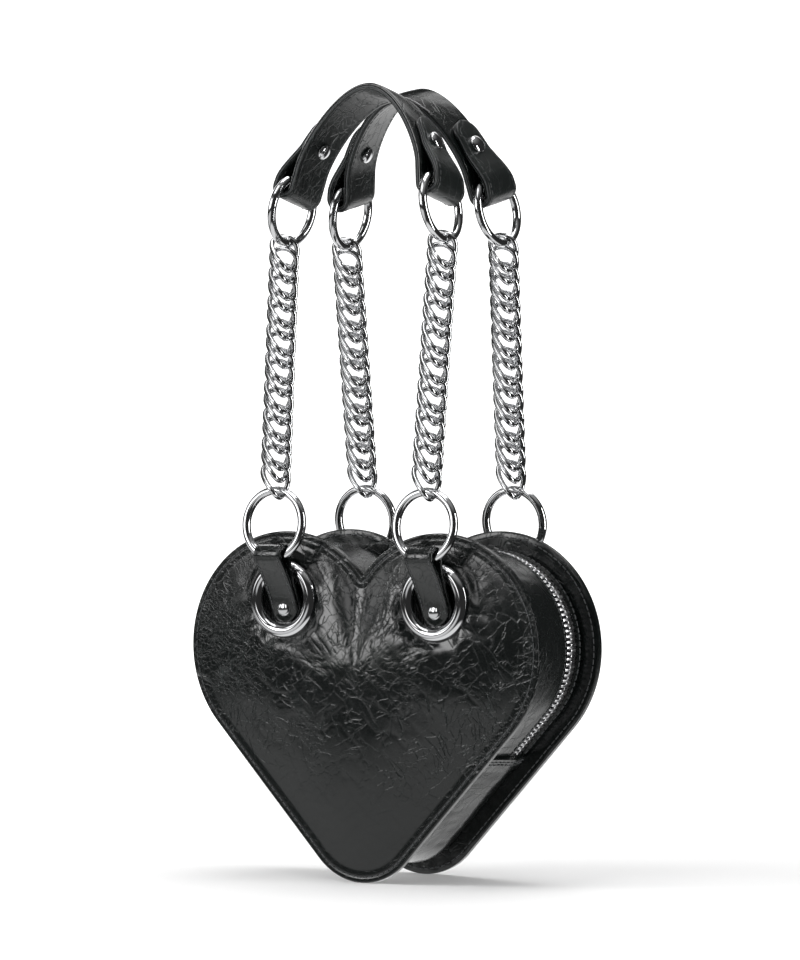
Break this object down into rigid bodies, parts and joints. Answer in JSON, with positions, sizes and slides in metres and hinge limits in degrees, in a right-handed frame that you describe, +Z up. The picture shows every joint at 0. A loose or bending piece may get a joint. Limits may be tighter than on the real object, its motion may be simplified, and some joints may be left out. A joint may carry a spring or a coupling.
{
  "type": "heart shaped handbag",
  "caption": "Heart shaped padded handbag with a curved zip, grommets, ring-hung double curb chains and a pair of arched strap handles.",
  "frame": {"origin": "middle of the bag, on the level of the lowest points of the two heart panels", "axes": "+Z up, +X to the right seen from the front, +Y from the front panel to the back panel"},
  "size_m": [0.2, 0.094, 0.3857],
  "materials": {
    "patent_leather": "crinkled patent gloss",
    "inner_leather": "satin, lightly creased",
    "chrome": "polished",
    "zip_metal": "bright plated",
    "plain_steel": "plain plated",
    "cloth": "woven",
    "padding": "soft foam sheet"
  },
  "bodies": {
    "bag": {"front_panel": "patent_leather", "front_padding": "padding", "front_panel_facing": "patent_leather", "back_panel": "patent_leather", "back_padding": "padding", "back_panel_facing": "patent_leather", "gusset_base": "patent_leather", "gusset_front_strip": "patent_leather", "gusset_back_strip": "patent_leather", "zip_tape_front": "cloth", "zip_tape_back": "cloth", "zip_teeth_front": "zip_metal", "zip_teeth_back": "zip_metal", "zip_end_stops": "zip_metal", "lining": "cloth", "front_grommets": "chrome", "front_grommet_washers": "plain_steel", "back_grommets": "chrome", "back_grommet_washers": "plain_steel", "front_tabs": "patent_leather", "front_tab_studs": "chrome", "front_anchor_plates": "plain_steel", "back_tabs": "patent_leather", "back_tab_studs": "chrome", "back_anchor_plates": "plain_steel"},
    "slider": {"zip_slider": "zip_metal"},
    "pull": {"zip_pull": "zip_metal"},
    "front_rings": {"front_o_rings": "chrome"},
    "front_chains": {"front_left_chain": "chrome", "front_right_chain": "chrome"},
    "front_upper_rings": {"front_handle_rings": "chrome"},
    "front_handle": {"front_handle_outer": "patent_leather", "front_handle_inner": "inner_leather", "front_handle_studs": "chrome"},
    "back_rings": {"back_o_rings": "chrome"},
    "back_chains": {"back_left_chain": "chrome", "back_right_chain": "chrome"},
    "back_upper_rings": {"back_handle_rings": "chrome"},
    "back_handle": {"back_handle_outer": "patent_leather", "back_handle_inner": "inner_leather", "back_handle_studs": "chrome"}
  },
  "joints": [
    {"name": "front_ring_swing", "type": "hinge", "parent": "bag", "child": "front_rings", "pos_m": [0, -0.04163, 0.1575], "axis": [1, 0, 0], "range_deg": [0, 150]},
    {"name": "front_chain_swing", "type": "hinge", "parent": "front_rings", "child": "front_chains", "pos_m": [0, -0.03861, 0.18887], "axis": [-1, 0, 0], "range_deg": [-90, 0]},
    {"name": "front_upper_ring_swing", "type": "hinge", "parent": "front_chains", "child": "front_upper_rings", "pos_m": [0, -0.0255, 0.32498], "axis": [-1, 0, 0], "range_deg": [-45, 0]},
    {"name": "front_handle_swing", "type": "hinge", "parent": "front_upper_rings", "child": "front_handle", "pos_m": [0, -0.0255, 0.32498], "axis": [-1, 0, 0], "range_deg": [-20, 0]},
    {"name": "back_ring_swing", "type": "hinge", "parent": "bag", "child": "back_rings", "pos_m": [0, 0.04163, 0.1575], "axis": [-1, 0, 0], "range_deg": [0, 150]},
    {"name": "back_chain_swing", "type": "hinge", "parent": "back_rings", "child": "back_chains", "pos_m": [0, 0.03861, 0.18887], "axis": [1, 0, 0], "range_deg": [-90, 0]},
    {"name": "back_upper_ring_swing", "type": "hinge", "parent": "back_chains", "child": "back_upper_rings", "pos_m": [0, 0.0255, 0.32498], "axis": [1, 0, 0], "range_deg": [-45, 0]},
    {"name": "back_handle_swing", "type": "hinge", "parent": "back_upper_rings", "child": "back_handle", "pos_m": [0, 0.0255, 0.32498], "axis": [1, 0, 0], "range_deg": [-20, 0]},
    {"name": "slider_travel", "type": "hinge", "parent": "bag", "child": "slider", "pos_m": [0.044, 0.0167, 0.113], "axis": [0, 1, 0], "range_deg": [0, 148.5]},
    {"name": "pull_swing", "type": "hinge", "parent": "slider", "child": "pull", "pos_m": [0.02456, 0.0167, 0.15811], "axis": [0, 1, 0], "range_deg": [0, 150]}
  ]
}
